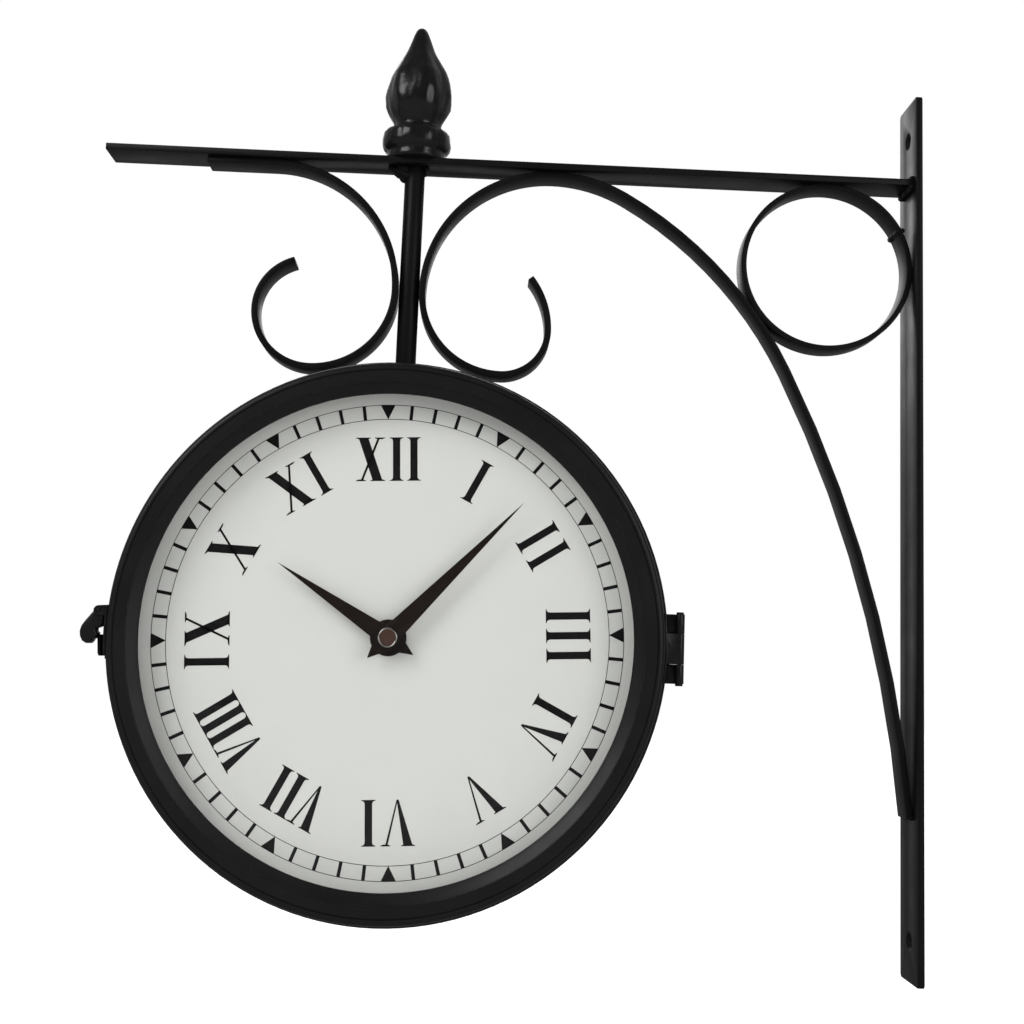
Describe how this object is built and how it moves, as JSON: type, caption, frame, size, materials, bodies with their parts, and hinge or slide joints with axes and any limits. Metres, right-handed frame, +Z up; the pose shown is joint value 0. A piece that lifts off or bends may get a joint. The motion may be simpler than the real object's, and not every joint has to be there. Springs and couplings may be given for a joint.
{
  "type": "double sided station clock",
  "caption": "Round clock with a dial on each side, hung from a scrolled wall bracket; each side has a glazed door that opens, hands that turn together and its own geared movement.",
  "frame": {"origin": "centre of the line between the two screw holes, on the back face of the wall plate", "axes": "+X into the wall, +Y away from the front dial's viewer, +Z up"},
  "size_m": [0.385, 0.084, 0.436],
  "materials": {
    "bracket_paint": "satin black paint over hand-bent flat iron",
    "finial_paint": "gloss black paint over rough cast iron",
    "case_paint": "semi-gloss black paint",
    "fitting_paint": "thin black paint on pressed steel fittings",
    "dial_enamel": "matt off-white with black printing",
    "hand_paint": "brown-black lacquer",
    "clear_glass": "flat clear",
    "zinc_steel": "dull zinc plate",
    "nickel": "bright nickel",
    "brass": "turned brass",
    "movement_plastic": "moulded black",
    "wheel_plastic": "moulded natural white",
    "cell_sleeve": "shrink sleeve"
  },
  "bodies": {
    "bracket": {"wall_plate": "bracket_paint", "arm": "bracket_paint", "left_scroll": "bracket_paint", "right_scroll_arch": "bracket_paint", "brace_ring": "bracket_paint", "post": "bracket_paint", "tie_rod": "zinc_steel", "finial": "finial_paint", "clamp_washer": "zinc_steel", "clamp_nut": "zinc_steel"},
    "head": {"case_band": "case_paint", "dial_screws": "zinc_steel", "front_dial_lugs": "case_paint", "front_dial": "dial_enamel", "front_hinge_case_leaf": "fitting_paint", "front_hinge_pin": "fitting_paint", "front_latch_keeper": "fitting_paint", "front_movement_housing": "movement_plastic", "front_movement_cover": "movement_plastic", "front_battery": "cell_sleeve", "front_dial_washer": "zinc_steel", "front_bushing_nut": "brass", "rear_dial_lugs": "case_paint", "rear_dial": "dial_enamel", "rear_hinge_case_leaf": "fitting_paint", "rear_hinge_pin": "fitting_paint", "rear_latch_keeper": "fitting_paint", "rear_movement_housing": "movement_plastic", "rear_movement_cover": "movement_plastic", "rear_battery": "cell_sleeve", "rear_dial_washer": "zinc_steel", "rear_bushing_nut": "brass"},
    "front_door": {"front_bezel": "case_paint", "front_glass": "clear_glass", "front_glass_clips": "zinc_steel", "front_hinge_door_leaf": "fitting_paint", "front_latch_base": "fitting_paint", "front_latch_pin": "zinc_steel"},
    "front_latch": {"front_latch_lever": "fitting_paint"},
    "front_minute": {"front_minute_arbor": "brass", "front_minute_hand": "hand_paint", "front_cap_nut": "nickel"},
    "front_motion": {"front_motion_wheel": "wheel_plastic"},
    "front_hour": {"front_hour_wheel": "wheel_plastic", "front_hour_hand": "hand_paint"},
    "front_setting": {"front_setting_knob": "wheel_plastic"},
    "rear_door": {"rear_bezel": "case_paint", "rear_glass": "clear_glass", "rear_glass_clips": "zinc_steel", "rear_hinge_door_leaf": "fitting_paint", "rear_latch_base": "fitting_paint", "rear_latch_pin": "zinc_steel"},
    "rear_latch": {"rear_latch_lever": "fitting_paint"},
    "rear_minute": {"rear_minute_arbor": "brass", "rear_minute_hand": "hand_paint", "rear_cap_nut": "nickel"},
    "rear_motion": {"rear_motion_wheel": "wheel_plastic"},
    "rear_hour": {"rear_hour_wheel": "wheel_plastic", "rear_hour_hand": "hand_paint"},
    "rear_setting": {"rear_setting_knob": "wheel_plastic"}
  },
  "joints": [
    {"name": "head_swivel", "type": "hinge", "parent": "bracket", "child": "head", "pos_m": [-0.24, 0, 0.061], "axis": [0, 0, 1], "continuous": true},
    {"name": "front_door_hinge", "type": "hinge", "parent": "head", "child": "front_door", "pos_m": [-0.1126, -0.0302, -0.0615], "axis": [0, 0, 1], "range_deg": [0, 100]},
    {"name": "front_latch_pivot", "type": "hinge", "parent": "front_door", "child": "front_latch", "pos_m": [-0.36365, -0.0359, -0.05475], "axis": [0, 1, 0], "range_deg": [0, 50], "stiffness_Nm_per_rad": 0.01, "springref_deg": -20.05},
    {"name": "front_minute_turn", "type": "hinge", "parent": "head", "child": "front_minute", "pos_m": [-0.24, -0.02, -0.0615], "axis": [0, 1, 0], "continuous": true},
    {"name": "front_motion_turn", "type": "hinge", "parent": "head", "child": "front_motion", "pos_m": [-0.24, -0.018, -0.0519], "axis": [0, 1, 0], "continuous": true},
    {"name": "front_hour_turn", "type": "hinge", "parent": "head", "child": "front_hour", "pos_m": [-0.24, -0.02, -0.0615], "axis": [0, 1, 0], "continuous": true},
    {"name": "front_setting_turn", "type": "hinge", "parent": "head", "child": "front_setting", "pos_m": [-0.23169, -0.016, -0.0471], "axis": [0, 1, 0], "continuous": true},
    {"name": "rear_door_hinge", "type": "hinge", "parent": "head", "child": "rear_door", "pos_m": [-0.3674, 0.0302, -0.0615], "axis": [0, 0, 1], "range_deg": [0, 100]},
    {"name": "rear_latch_pivot", "type": "hinge", "parent": "rear_door", "child": "rear_latch", "pos_m": [-0.11635, 0.0359, -0.05475], "axis": [0, -1, 0], "range_deg": [0, 50], "stiffness_Nm_per_rad": 0.01, "springref_deg": -20.05},
    {"name": "rear_minute_turn", "type": "hinge", "parent": "head", "child": "rear_minute", "pos_m": [-0.24, 0.02, -0.0615], "axis": [0, -1, 0], "continuous": true},
    {"name": "rear_motion_turn", "type": "hinge", "parent": "head", "child": "rear_motion", "pos_m": [-0.24, 0.018, -0.0519], "axis": [0, -1, 0], "continuous": true},
    {"name": "rear_hour_turn", "type": "hinge", "parent": "head", "child": "rear_hour", "pos_m": [-0.24, 0.02, -0.0615], "axis": [0, -1, 0], "continuous": true},
    {"name": "rear_setting_turn", "type": "hinge", "parent": "head", "child": "rear_setting", "pos_m": [-0.24831, 0.016, -0.0471], "axis": [0, -1, 0], "continuous": true}
  ],
  "couplings": [
    {"joint": "front_motion_turn", "follows": "front_minute_turn", "ratio": -0.33333},
    {"joint": "front_hour_turn", "follows": "front_minute_turn", "ratio": 0.083333},
    {"joint": "front_setting_turn", "follows": "front_minute_turn", "ratio": 1},
    {"joint": "rear_motion_turn", "follows": "rear_minute_turn", "ratio": -0.33333},
    {"joint": "rear_hour_turn", "follows": "rear_minute_turn", "ratio": 0.083333},
    {"joint": "rear_setting_turn", "follows": "rear_minute_turn", "ratio": 1}
  ]
}
